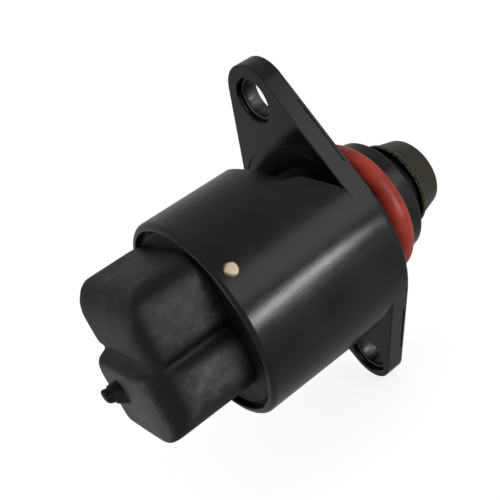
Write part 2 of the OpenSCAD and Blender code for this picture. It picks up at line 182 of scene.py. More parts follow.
class Paint:
    """A material under construction, with its Principled shader."""

    def __init__(self, name: str) -> None:
        """Starts a material with one Principled shader.

        Args:
            name: the material's name.
        """
        self.material = bpy.data.materials.new(name)
        self.material.use_nodes = True
        self.tree = self.material.node_tree
        self.shader = self.tree.nodes["Principled BSDF"]

    def fill(self, place: bpy.types.NodeSocket, value: object) -> None:
        """Sets or links one input socket.

        Args:
            place: the socket.
            value: a signal, an output socket or a plain value.
        """
        if isinstance(value, Signal):
            self.tree.links.new(value.socket, place)
        elif isinstance(value, bpy.types.NodeSocket):
            self.tree.links.new(value, place)
        else:
            place.default_value = value

    def node(self, kind: str, settings: dict | None = None, **values: object) -> bpy.types.Node:
        """Adds a node.

        Args:
            kind: the node's type.
            settings: the node's own settings, set before its sockets.
            values: a value or a link for each socket, by name with underscores for spaces.

        Returns:
            The node.
        """
        made = self.tree.nodes.new(kind)
        for key, value in (settings or {}).items():
            setattr(made, key, value)
        for key, value in values.items():
            self.fill(made.inputs[key.replace("_", " ")], value)
        return made

    def signal(self, node: bpy.types.Node, name: str) -> Signal:
        """One output of a node as a value."""
        return Signal(self.tree, node.outputs[name])

    def place(self) -> bpy.types.NodeSocket:
        """The point on the object, in metres."""
        return self.node("ShaderNodeTexCoord").outputs["Object"]

    def along(self, axis: str) -> Signal:
        """One coordinate of the point on the object, in millimetres.

        Args:
            axis: X, Y or Z.

        Returns:
            The coordinate.
        """
        split = self.node("ShaderNodeSeparateXYZ", Vector=self.place())
        return self.signal(split, axis) * 1000.0

    def away(self, centre: Sequence[float]) -> Signal:
        """The distance from a point, in millimetres.

        Args:
            centre: the point, in metres.

        Returns:
            The distance.
        """
        made = self.node("ShaderNodeVectorMath", {"operation": "DISTANCE"})
        self.fill(made.inputs[0], self.place())
        self.fill(made.inputs[1], tuple(centre))
        return self.signal(made, "Value") * 1000.0

    def noise(self, size_mm: float, detail: float = 3.0, rough: float = 0.5,
              stretch: Sequence[float] = (1, 1, 1)) -> Signal:
        """A noise of a given grain.

        Args:
            size_mm: the size of its largest patches.
            detail: how many finer layers it has.
            rough: the weight of the finer layers.
            stretch: how much finer it is along each axis.

        Returns:
            The noise from 0 to 1.
        """
        spread = self.node("ShaderNodeMapping", Vector=self.place(), Scale=tuple(stretch))
        made = self.node("ShaderNodeTexNoise", {"normalize": True}, Vector=spread.outputs[0],
                         Scale=1.0 / (size_mm * MM), Detail=detail, Roughness=rough)
        return self.signal(made, "Fac")

    def painted_light(self) -> Signal:
        """The painted light and shade on the surface, from 0 to 1, as the piece's own attribute says."""
        made = self.node("ShaderNodeAttribute", {"attribute_name": PAINTED_LIGHT_ATTR})
        return self.signal(made, "Fac")

    def specks(self, size_mm: float, radius: float) -> Signal:
        """Small dots, one in each cell of a scattered grid.

        Args:
            size_mm: the size of a cell.
            radius: the dots' radius, as a share of the cell.

        Returns:
            1 in the dots and 0 elsewhere.
        """
        made = self.node("ShaderNodeTexVoronoi", {"feature": "F1"}, Vector=self.place(),
                         Scale=1.0 / (size_mm * MM), Randomness=1.0)
        return self.signal(made, "Distance").ramp(radius * 0.6, radius, 1.0, 0.0)

    def mix(self, amount: Signal | float, first: object, second: object) -> bpy.types.NodeSocket:
        """A colour between two.

        Args:
            amount: the share of the second colour.
            first: a colour of four numbers or a colour socket.
            second: the same.

        Returns:
            The mixed colour's socket.
        """
        made = self.tree.nodes.new("ShaderNodeMix")
        made.data_type = "RGBA"
        for place, value in ((made.inputs[0], amount), (made.inputs[6], first), (made.inputs[7], second)):
            self.fill(place, value)
        return made.outputs[2]

    def bump(self, height: Signal, depth_mm: float, strength: float = 1.0) -> None:
        """Raises the surface by a height from 0 to 1.

        Args:
            height: the height.
            depth_mm: the depth that 1 stands for.
            strength: the share of the effect.
        """
        made = self.node("ShaderNodeBump", Height=height, Distance=depth_mm * MM, Strength=strength)
        self.tree.links.new(made.outputs["Normal"], self.shader.inputs["Normal"])

    def set(self, **values: object) -> None:
        """Sets or links the shader's sockets.

        Args:
            values: a value or a link for each socket, by name with underscores for spaces.
        """
        for key, value in values.items():
            self.fill(self.shader.inputs[key.replace("_", " ")], value)


def rgb(red: float, green: float, blue: float) -> tuple[float, float, float, float]:
    """A colour with full cover."""
    return (red, green, blue, 1.0)


@dataclass(frozen=True)
class MouldedHousing:
    """Satin black moulding with a faint waviness, fine grain and a few pale specks."""

    dark: tuple = rgb(0.0035, 0.0036, 0.004)
    light: tuple = rgb(0.0085, 0.0083, 0.0078)
    speck: tuple = rgb(0.25, 0.24, 0.22)
    roughness: float = 0.17
    gloss: float = 0.34

    def material(self) -> bpy.types.Material:
        """Makes the finish."""
        paint = Paint("moulded_housing")
        patches = paint.noise(7.0, 4.0, 0.55)
        waves = paint.noise(3.5, 2.0, 0.4)
        grain = paint.noise(0.3, 2.0, 0.5)
        base = paint.mix(patches.ramp(0.3, 0.75), self.dark, self.light)
        dust = paint.specks(11.0, 0.011)
        paint.set(Base_Color=paint.mix(dust, base, self.speck),
                  Roughness=patches.ramp(0.3, 0.7, self.roughness - 0.02, self.roughness + 0.05) + grain * 0.05,
                  IOR=1.5, Specular_IOR_Level=self.gloss)
        paint.bump(grain * 0.5 + waves * 0.5, 0.07, 0.4)
        return paint.material


@dataclass(frozen=True)
class MottledCover:
    """Matte dark moulding with uneven grey patches, brightened or dimmed by painted light and shade from the
    piece's attribute.
    """

    dark: tuple = rgb(0.0055, 0.0055, 0.0057)
    light: tuple = rgb(0.105, 0.103, 0.099)
    roughness: float = 0.52
    gloss: float = 0.27

    def material(self) -> bpy.types.Material:
        """Makes the finish."""
        paint = Paint("moulded_connector")
        patches = paint.noise(4.2, 5.0, 0.6)
        blots = paint.noise(1.4, 3.0, 0.55)
        grain = paint.noise(0.4, 3.0, 0.6)
        mottle = patches.ramp(0.36, 0.62) * 0.4 + blots.ramp(0.42, 0.62) * 0.28 + 0.32
        # The grey patches are scaled by painted light and shade: lighter on lit faces, darker in corners, in the
        # groove and on the disc.
        mottle_under_painted_light = mottle * paint.painted_light()
        paint.set(Base_Color=paint.mix(mottle_under_painted_light, self.dark, self.light),
                  Roughness=patches.ramp(0.35, 0.65, self.roughness - 0.05, self.roughness + 0.08),
                  IOR=1.5, Specular_IOR_Level=self.gloss)
        paint.bump(grain * 0.35 + blots * 0.65, 0.12, 0.5)
        return paint.material


@dataclass(frozen=True)
class RingRubber:
    """Smooth red-orange rubber."""

    deep: tuple = rgb(0.32, 0.026, 0.015)
    bright: tuple = rgb(0.5, 0.05, 0.025)

    def material(self) -> bpy.types.Material:
        """Makes the finish."""
        paint = Paint("ring_rubber")
        patches = paint.noise(4.0, 3.0)
        grain = paint.noise(0.25, 2.0)
        paint.set(Base_Color=paint.mix(patches.ramp(0.35, 0.7), self.deep, self.bright),
                  Roughness=patches.ramp(0.3, 0.7, 0.36, 0.46), IOR=1.45)
        paint.bump(grain, 0.015, 0.5)
        return paint.material


@dataclass(frozen=True)
class PintleCoat:
    """Olive-bronze metal with a rough speckled band behind the cone, a thin pale ring at the band's front edge, and
    the neck behind the band painted dark as shade.
    """

    band_rear_mm: float
    band_front_mm: float
    smooth: tuple = rgb(0.072, 0.067, 0.05)
    speck: tuple = rgb(0.1, 0.09, 0.066)
    pit_and_painted_shade: tuple = rgb(0.012, 0.011, 0.009)
    pale_edge: tuple = rgb(0.3, 0.28, 0.22)

    def material(self) -> bpy.types.Material:
        """Makes the finish."""
        paint = Paint("pintle_metal")
        station = paint.along("X")
        on_band = station.ramp(self.band_front_mm - 0.12, self.band_front_mm - 0.04, 1.0, 0.0)
        # A thin pale ring at the band's front edge.
        on_edge = abs(station - (self.band_front_mm - 0.04)).ramp(0.05, 0.12, 1.0, 0.0)
        grain = paint.noise(0.4, 3.0, 0.7)
        haze = paint.noise(2.5, 3.0)
        speckle = paint.mix(grain.ramp(0.4, 0.64), self.pit_and_painted_shade, self.speck)
        # The neck behind the band is painted the dark pit colour as shade; the same colour also makes the band's
        # real dark pits.
        neck_painted_shade = station.ramp(self.band_rear_mm - 0.06, self.band_rear_mm + 0.06, 1.0, 0.0)
        coat = paint.mix(neck_painted_shade, paint.mix(on_band, self.smooth, speckle), self.pit_and_painted_shade)
        paint.set(Base_Color=paint.mix(on_edge, coat, self.pale_edge), Metallic=1.0,
                  Roughness=haze.ramp(0.3, 0.7, 0.34, 0.44) + on_band * 0.12)
        paint.bump(grain * on_band, 0.08, 0.7)
        return paint.material


@dataclass(frozen=True)
class BeadCompound:
    """Cream compound, browner towards its rim."""

    centre: tuple[float, float, float]
    radius_mm: float
    cream: tuple = rgb(0.8, 0.66, 0.45)
    brown: tuple = rgb(0.2, 0.12, 0.06)

    def material(self) -> bpy.types.Material:
        """Makes the finish."""
        paint = Paint("bead_compound")
        uneven = paint.noise(0.7, 2.0)
        reach = paint.away(self.centre) * (1.0 / self.radius_mm) + uneven * 0.5
        paint.set(Base_Color=paint.mix(reach.ramp(1.0, 1.25), self.cream, self.brown), Roughness=0.5)
        paint.bump(uneven, 0.05, 0.5)
        return paint.material


@dataclass(frozen=True)
class PlainMetal:
    """Bare or plated metal with fine marks."""

    name: str
    colour: tuple
    roughness: float = 0.35
    grain_mm: float = 0.4

    def material(self) -> bpy.types.Material:
        """Makes the finish."""
        paint = Paint(self.name)
        marks = paint.noise(self.grain_mm, 3.0, 0.6, (0.3, 1, 1))
        dulled = tuple(c * 0.7 for c in self.colour[:3]) + (1.0,)
        paint.set(Base_Color=paint.mix(marks.ramp(0.35, 0.7), self.colour, dulled), Metallic=1.0,
                  Roughness=marks.ramp(0.3, 0.7, self.roughness - 0.06, self.roughness + 0.08))
        paint.bump(marks, 0.01, 0.4)
        return paint.material


@dataclass(frozen=True)
class PlainMould:
    """Plastic, rubber or compound with a faint grain."""

    name: str
    colour: tuple
    roughness: float = 0.5

    def material(self) -> bpy.types.Material:
        """Makes the finish."""
        paint = Paint(self.name)
        grain = paint.noise(1.2, 4.0, 0.55)
        shade = tuple(c * 0.75 for c in self.colour[:3]) + (1.0,)
        paint.set(Base_Color=paint.mix(grain.ramp(0.3, 0.7), self.colour, shade),
                  Roughness=grain.ramp(0.3, 0.7, self.roughness - 0.05, self.roughness + 0.07))
        paint.bump(grain, 0.02, 0.4)
        return paint.material


INNER_FINISHES = {
    "seal_compound": PlainMould("seal_compound", rgb(0.01, 0.01, 0.01), 0.6),
    "bobbin_plastic": PlainMould("bobbin_plastic", rgb(0.7, 0.67, 0.55)),
    "bush_plastic": PlainMould("bush_plastic", rgb(0.02, 0.02, 0.021), 0.45),
    "magnet_ferrite": PlainMould("magnet_ferrite", rgb(0.03, 0.03, 0.032), 0.55),
    "hub_plastic": PlainMould("hub_plastic", rgb(0.72, 0.7, 0.64), 0.45),
    "sleeve_steel": PlainMetal("sleeve_steel", rgb(0.09, 0.088, 0.086), 0.34),
    "terminal_metal": PlainMetal("terminal_metal", rgb(0.66, 0.62, 0.5), 0.25),
    "plate_steel": PlainMetal("plate_steel", rgb(0.5, 0.5, 0.5), 0.35),
    "stator_steel": PlainMetal("stator_steel", rgb(0.42, 0.43, 0.45), 0.4),
    "coil_wire": PlainMetal("coil_wire", rgb(0.55, 0.22, 0.09), 0.35, 0.15),
    "bearing_steel": PlainMetal("bearing_steel", rgb(0.62, 0.62, 0.65), 0.12),
    "cage_metal": PlainMetal("cage_metal", rgb(0.6, 0.45, 0.2), 0.3),
    "bush_bronze": PlainMetal("bush_bronze", rgb(0.5, 0.34, 0.15), 0.45),
    "nut_bronze": PlainMetal("nut_bronze", rgb(0.55, 0.38, 0.16), 0.3),
    "screw_steel": PlainMetal("screw_steel", rgb(0.5, 0.5, 0.52), 0.25),
}


def span(node: str) -> tuple[Vector, Vector]:
    """A node's lowest and highest corners.

    Args:
        node: the node's name.

    Returns:
        Both corners, in millimetres.
    """
    low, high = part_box(node)
    return Vector(low) / MM, Vector(high) / MM


@dataclass(frozen=True)
class Corner:
    """A corner of a turned profile: a station on the axis, a radius and a fillet, in millimetres."""

    x: float
    r: float
    fillet: float = 0.0
    steps: int = 4


class Solid:
    """A mesh under construction and the object that it becomes."""

    def __init__(self) -> None:
        """Starts with an empty mesh."""
        self.bm = bmesh.new()

    def wire(self, points: Sequence[Vector]) -> list[bmesh.types.BMVert]:
        """Draws a closed line of straight edges.

        Args:
            points: the points, in metres.

        Returns:
            The vertices in order.
        """
        verts = [self.bm.verts.new(p) for p in points]
        for a, b in zip(verts, verts[1:] + verts[:1]):
            self.bm.edges.new((a, b))
        return verts

    def round_corner(self, vert: bmesh.types.BMVert, radius_mm: float, steps: int) -> None:
        """Rounds one corner of a wire.

        Args:
            vert: the corner.
            radius_mm: the fillet's radius.
            steps: the number of edges in the fillet.
        """
        arms = [(e.other_vert(vert).co - vert.co).normalized() for e in vert.link_edges]
        half = arms[0].angle(arms[1]) / 2
        bmesh.ops.bevel(self.bm, geom=[vert], affect="VERTICES", offset=radius_mm * MM / math.tan(half),
                        offset_type="OFFSET", segments=steps, profile=0.5, material=-1, clamp_overlap=False)

    def clean(self) -> None:
        """Merges doubles and turns the faces outwards."""
        bmesh.ops.remove_doubles(self.bm, verts=self.bm.verts[:], dist=1e-7)
        bmesh.ops.dissolve_degenerate(self.bm, edges=self.bm.edges[:], dist=1e-7)
        bmesh.ops.recalc_face_normals(self.bm, faces=self.bm.faces[:])

    def lathe(self, profile: Sequence[Corner], steps: int = 192) -> None:
        """Turns a closed profile about the X axis.

        Args:
            profile: the corners in order.
            steps: the number of steps in the full turn.
        """
        verts = self.wire([Vector((c.x, 0, c.r)) * MM for c in profile])
        for vert, corner in zip(verts, profile):
            if corner.fillet:
                self.round_corner(vert, corner.fillet, corner.steps)
        bmesh.ops.spin(self.bm, geom=self.bm.verts[:] + self.bm.edges[:], axis=(1, 0, 0), cent=(0, 0, 0),
                       angle=2 * math.pi, steps=steps, use_merge=True)
        self.clean()

    def slab(self, move: Vector) -> None:
        """Fills the wire and makes it thick.

        Args:
            move: the way and the distance that the face is drawn out, in metres.
        """
        made = bmesh.ops.contextual_create(self.bm, geom=self.bm.edges[:])
        drawn = bmesh.ops.extrude_face_region(self.bm, geom=made["faces"], use_keep_orig=True)
        verts = [g for g in drawn["geom"] if isinstance(g, bmesh.types.BMVert)]
        bmesh.ops.translate(self.bm, verts=verts, vec=move)
        bmesh.ops.recalc_face_normals(self.bm, faces=self.bm.faces[:])

    def prism(self, plane: Plane, corners: Sequence[tuple[float, float, float]], start: float, end: float) -> None:
        """Draws an outline with rounded corners and makes it thick.

        Args:
            plane: the plane that it is drawn in.
            corners: two coordinates and a fillet for each corner, in millimetres.
            start: where the solid starts along the third axis.
            end: where it ends.
        """
        verts = self.wire([plane.place(a, b, start) for a, b, _ in corners])
        for vert, (_, _, fillet) in zip(verts, corners):
            if fillet:
                self.round_corner(vert, fillet, max(4, round(fillet * 2)))
        self.slab(plane.place(0, 0, end) - plane.place(0, 0, start))

    def edges(self, test: Callable[[Vector, Vector], bool]) -> list[bmesh.types.BMEdge]:
        """The edges whose two ends, in millimetres, pass a test."""
        return [e for e in self.bm.edges if test(e.verts[0].co / MM, e.verts[1].co / MM)]

    def soften(self, edges: Iterable[bmesh.types.BMEdge], radius_mm: float, steps: int = 3) -> None:
        """Rounds edges.

        Args:
            edges: the edges.
            radius_mm: the rounding's size.
            steps: the number of faces across it.
        """
        bmesh.ops.bevel(self.bm, geom=list(edges), affect="EDGES", offset=radius_mm * MM, offset_type="OFFSET",
                        segments=steps, profile=0.5, material=-1, clamp_overlap=True)

    def move(self, x: float = 0.0, y: float = 0.0, z: float = 0.0) -> None:
        """Moves everything, in millimetres."""
        bmesh.ops.translate(self.bm, verts=self.bm.verts[:], vec=Vector((x, y, z)) * MM)

    def flip(self, axis: str) -> None:
        """Mirrors everything across the plane that an axis stands on.

        Args:
            axis: X, Y or Z.
        """
        scale = [-1 if letter == axis else 1 for letter in "XYZ"]
        bmesh.ops.scale(self.bm, vec=scale, verts=self.bm.verts[:])
        bmesh.ops.reverse_faces(self.bm, faces=self.bm.faces[:])

    def piece(self, name: str) -> bpy.types.Object:
        """Makes the object and ends the mesh's making.

        Args:
            name: the object's name.

        Returns:
            The object.
        """
        mesh = bpy.data.meshes.new(name)
        self.bm.to_mesh(mesh)
        self.bm.free()
        made = bpy.data.objects.new(name, mesh)
        bpy.context.scene.collection.objects.link(made)
        return made


def settle(target: bpy.types.Object) -> None:
    """Turns a piece's modifiers into its mesh.

    Args:
        target: the piece.
    """
    shaped = bpy.data.meshes.new_from_object(target.evaluated_get(bpy.context.evaluated_depsgraph_get()))
    target.modifiers.clear()
    old = target.data
    target.data = shaped
    shaped.name = old.name
    bpy.data.meshes.remove(old)


def combine(target: bpy.types.Object, tool: bpy.types.Object, how: Cut) -> None:
    """Joins a solid with another, cuts it or keeps what they share, and deletes the other.

    Args:
        target: the solid that stays.
        tool: the solid that is used up.
        how: what is done.
    """
    step = target.modifiers.new("work", "BOOLEAN")
    step.operation = how.value
    step.solver = "EXACT"
    step.object = tool
    settle(target)
    bpy.data.objects.remove(tool)


def melt(target: bpy.types.Object, grain_mm: float, passes: int) -> None:
    """Gives a solid an even skin and softens all its edges, as in a soft moulding.

    Args:
        target: the solid.
        grain_mm: the size of the new skin's faces.
        passes: how many times it is smoothed.
    """
    step = target.modifiers.new("skin", "REMESH")
    step.mode = "VOXEL"
    step.voxel_size = grain_mm * MM
    settle(target)
    bm = bmesh.new()
    bm.from_mesh(target.data)
    for _ in range(passes):
        bmesh.ops.smooth_vert(bm, verts=bm.verts[:], factor=0.5, use_axis_x=True, use_axis_y=True, use_axis_z=True)
    bm.to_mesh(target.data)
    bm.free()


def shade(target: bpy.types.Object, angle_deg: float = 32.0) -> None:
    """Shades a piece smooth and keeps its sharp edges.

    Args:
        target: the piece.
        angle_deg: the angle from which an edge is sharp.
    """
    target.data.shade_smooth()
    target.data.set_sharp_from_angle(angle=math.radians(angle_deg))
    step = target.modifiers.new("normals", "WEIGHTED_NORMAL")
    step.keep_sharp = True
    settle(target)


def dress(piece: bpy.types.Object, finish: bpy.types.Material, body: str, slot: str,
          *nodes: str) -> bpy.types.Object:
    """Gives a piece its material and its place in the frame.

    Args:
        piece: the piece.
        finish: its material.
        body: the body that it rides on.
        slot: the record's slot; not used.
        nodes: the nodes that it stands for.

    Returns:
        The piece.
    """
    piece.data.materials.clear()
    piece.data.materials.append(finish)
    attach(piece, body)
    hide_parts(*nodes)
    return piece


@dataclass
class Housing:
    """The moulded can with its flange, nose, ears and screw head reliefs."""

    wall_mm: float = 2.3
    rim_wall_mm: float = 1.2
    rim_depth_mm: float = 2.4
    flange_mm: float = 3.5
    nose_r_mm: float = 10.5
    nose_bore_mm: float = 8.7
    groove_mm: tuple[float, float, float] = (4.0, 8.0, 8.4)
    upper_hole_mm: float = 25.3
    upper_tip_mm: float = 6.1
    lower_hole_mm: float = 23.3
    lower_tip_mm: float = 5.0
    hole_r_mm: float = 3.8
    edge_mm: float = 0.18
    relief_mm: float = 6.6
    shelf_mm: float = 14.9
    drop_mm: float = 4.6
    guard_r_mm: float = 12.4
    # Stations of the edge loops along the can's plain wall.
    loops_mm: tuple[float, ...] = (-22.0, -14.0, -4.2)
    # Where each inner bore starts, from the nose to the rear, and its radius:
    # the pintle's passage, the guide bush's seat, the washer's and the bearing's.
    bores_mm: tuple[tuple[float, float], ...] = ((8.9, 6.9), (3.4, 5.62), (-4.6, 6.22), (-5.3, 8.02))
    motor_front_mm: float = -10.8
    seam_run: tuple[float, float] = (0.22, 0.74)
    seam_x_mm: tuple[float, float] = (-0.84, -0.5)
    seam_depth_mm: float = 0.16
    seam_past_mm: float = 0.5
    witness_r_mm: float = 0.07
    witness_deg: tuple[float, float] = (-20.0, 33.0)
    flare_mm: tuple[float, float] = (1.2, 1.1)

    def __post_init__(self) -> None:
        """Reads the can's size from the frame."""
        low, high = span("housing")
        self.can_r = high.y
        self.rim_x = low.x
        self.nose_x = high.x

    def body(self) -> bpy.types.Object:
        """Turns the can, the nose and the bores.

        Returns:
            The turned body.
        """
        seat = self.rim_x + self.rim_depth_mm
        rear, front, floor = self.groove_mm
        loops = [Corner(x, self.can_r) for x in (*self.loops_mm, -self.flange_mm, -0.8)]
        bores, radius = [], self.nose_bore_mm
        for start, following in (*self.bores_mm, (self.motor_front_mm, self.can_r - self.wall_mm)):
            bores += [Corner(start, radius), Corner(start, following)]
            radius = following
        solid = Solid()
        solid.lathe([
            Corner(self.rim_x, self.can_r, 0.9, 6), *loops,
            Corner(0, self.can_r, 0.3, 4), Corner(0, self.nose_r_mm, 0.3, 3),
            Corner(rear, self.nose_r_mm, 0.2, 2), Corner(rear, floor), Corner(front, floor),
            Corner(front, self.nose_r_mm, 0.2, 2), Corner(self.nose_x, self.nose_r_mm, 0.35, 4),
            Corner(self.nose_x, self.nose_bore_mm, 0.2, 3), *bores,
            Corner(seat, self.can_r - self.wall_mm), Corner(seat, self.can_r - self.rim_wall_mm),
            Corner(self.rim_x, self.can_r - self.rim_wall_mm, 0.15, 3),
        ])
        return solid.piece("valve_housing")

    def ear(self, hole_mm: float, tip_mm: float, side: int) -> bpy.types.Object:
        """Makes one ear.

        Args:
            hole_mm: the hole's distance from the axis.
            tip_mm: the tip's radius.
            side: 1 for the upper ear and -1 for the lower one.

        Returns:
            The ear, sunk into the flange's disc.
        """
        lean = math.acos((self.can_r - tip_mm) / hole_mm)
        root = Vector((0, self.can_r * math.sin(lean), self.can_r * math.cos(lean)))
        inner = root * 0.8
        solid = Solid()
        tip = solid.bm.verts.new(Vector((0, tip_mm * math.sin(lean), hole_mm + tip_mm * math.cos(lean))) * MM)
        turned = bmesh.ops.spin(solid.bm, geom=[tip], axis=(1, 0, 0), cent=Vector((0, 0, hole_mm)) * MM,
                                angle=2 * lean, steps=40)
        last = turned["geom_last"][0]
        near = solid.bm.verts.new(root * MM)
        far = solid.bm.verts.new(Vector((0, -root.y, root.z)) * MM)
        deep = [solid.bm.verts.new(inner * MM), solid.bm.verts.new(Vector((0, -inner.y, inner.z)) * MM)]
        for pair in ((tip, near), (near, deep[0]), (deep[0], deep[1]), (deep[1], far), (far, last)):
            solid.bm.edges.new(pair)
        solid.slab(Vector((-self.flange_mm * MM, 0, 0)))
        rims = solid.edges(lambda a, b: abs(a.x - b.x) < 1e-4 and min(a.z, b.z) > root.z - 0.1)
        solid.soften(rims, self.edge_mm, 3)
        if side < 0:
            solid.flip("Z")
        return solid.piece("ear")

    def seam(self, hole_mm: float, tip_mm: float, upper: bool, near: bool) -> bpy.types.Object:
        """Makes the cutter of the parting groove in one flank of an ear.

        Args:
            hole_mm: the hole's distance from the axis.
            tip_mm: the tip's radius.
            upper: whether the ear is the upper one.
            near: whether the flank is the one at -Y.

        Returns:
            The cutter.
        """
        lean = math.acos((self.can_r - tip_mm) / hole_mm)
        out = Vector((-math.sin(lean), math.cos(lean)))
        tip = Vector((0, hole_mm)) + out * tip_mm
        run = (out * self.can_r - tip)
        start, end = (tip + run * share for share in self.seam_run)
        past, depth = out * self.seam_past_mm, out * self.seam_depth_mm
        solid = Solid()
        solid.prism(Plane.SECTION, [(*(start + past), 0), (*(start - depth), 0),
                                    (*(end - depth), 0), (*(end + past), 0)], *self.seam_x_mm)
        if not near:
            solid.flip("Y")
        if not upper:
            solid.flip("Z")
        return solid.piece("seam")

    def witness(self) -> bpy.types.Object:
        """Makes the fine raised line that carries the can's outline on over the upper ear.

        Returns:
            The line.
        """
        solid = Solid()
        spot = Matrix.Translation(Vector((-self.flange_mm, 0, self.can_r + 0.05)) * MM)
        bmesh.ops.create_circle(solid.bm, segments=10, radius=self.witness_r_mm * MM,
                                matrix=spot @ Matrix.Rotation(math.pi / 2, 4, "X"))
        far, near = (math.radians(angle) for angle in self.witness_deg)
        bmesh.ops.rotate(solid.bm, verts=solid.bm.verts[:], cent=(0, 0, 0), matrix=Matrix.Rotation(far, 3, "X"))
        bmesh.ops.spin(solid.bm, geom=solid.bm.verts[:] + solid.bm.edges[:], axis=(1, 0, 0), cent=(0, 0, 0),
                       angle=near - far, steps=40)
        bmesh.ops.holes_fill(solid.bm, edges=[e for e in solid.bm.edges if e.is_boundary])
        solid.clean()
        return solid.piece("witness")

    def drill(self, hole_mm: float) -> bpy.types.Object:
        """Makes the cutter of one ear hole, with flared ends.

        Args:
            hole_mm: the hole's place along Z.

        Returns:
            The cutter.
        """
        solid = Solid()
        front, rear = 1.0, -self.flange_mm - 1.0
        rear_flare, front_flare = self.flare_mm
        solid.lathe([
            Corner(rear, self.hole_r_mm + rear_flare), Corner(-self.flange_mm + 0.2, self.hole_r_mm, 0.3, 3),
            Corner(-0.1, self.hole_r_mm), Corner(front, self.hole_r_mm + front_flare),
            Corner(front, 0), Corner(rear, 0)], 64)
        solid.move(z=hole_mm)
        return solid.piece("drill")

    def relief(self, side: int) -> bpy.types.Object:
        """Makes the cutter of one screw head relief.

        Args:
            side: 1 for the upper one and -1 for the lower one.

        Returns:
            The cutter.
        """
        rear = -self.flange_mm - self.relief_mm
        front = -self.flange_mm + 0.15
        fall = rear + self.relief_mm * 0.45
        top = self.can_r + 3
        low = self.shelf_mm - 0.7
        solid = Solid()
        solid.prism(Plane.SIDE, [(rear - 1.0, top, 0), (rear - 1.0, self.can_r, 0), (rear, self.can_r - 1.0, 0.9),
                                 (rear, self.shelf_mm, 0.5), (fall, low, 2.0),
                                 (front - 0.6, low - self.drop_mm * 0.75, 1.0),
                                 (front, low - self.drop_mm, 0), (front, top, 0)], -THROUGH_MM, THROUGH_MM)
        if side < 0:
            solid.flip("Z")
        cutter = solid.piece("relief")
        guard = Solid()
        guard.lathe([Corner(rear - 2, 0), Corner(rear - 2, self.guard_r_mm),
                     Corner(front + 2, self.guard_r_mm), Corner(front + 2, 0)], 128)
        combine(cutter, guard.piece("guard"), Cut.TAKE)
        reach = Solid()
        step = -self.flange_mm - 0.02
        reach.lathe([Corner(rear - 3, 0), Corner(rear - 3, top + 3), Corner(step, top + 3),
                     Corner(step, self.can_r - 0.05), Corner(front + 3, self.can_r - 0.05),
                     Corner(front + 3, 0)], 192)
        combine(cutter, reach.piece("reach"), Cut.COMMON)
        return cutter

    def build(self) -> list[bpy.types.Object]:
        """Builds the housing and dresses it.

        Returns:
            The piece.
        """
        piece = self.body()
        ears = ((self.upper_hole_mm, self.upper_tip_mm, 1), (self.lower_hole_mm, self.lower_tip_mm, -1))
        for hole, tip, side in ears:
            combine(piece, self.ear(hole, tip, side), Cut.ADD)
        for hole, tip, side in ears:
            combine(piece, self.drill(hole * side), Cut.TAKE)
            combine(piece, self.relief(side), Cut.TAKE)
            for near in (True, False):
                combine(piece, self.seam(hole, tip, side > 0, near), Cut.TAKE)
        combine(piece, self.witness(), Cut.ADD)
        shade(piece)
        return [dress(piece, MouldedHousing().material(), "valve_body", "moulded_housing", "housing")]


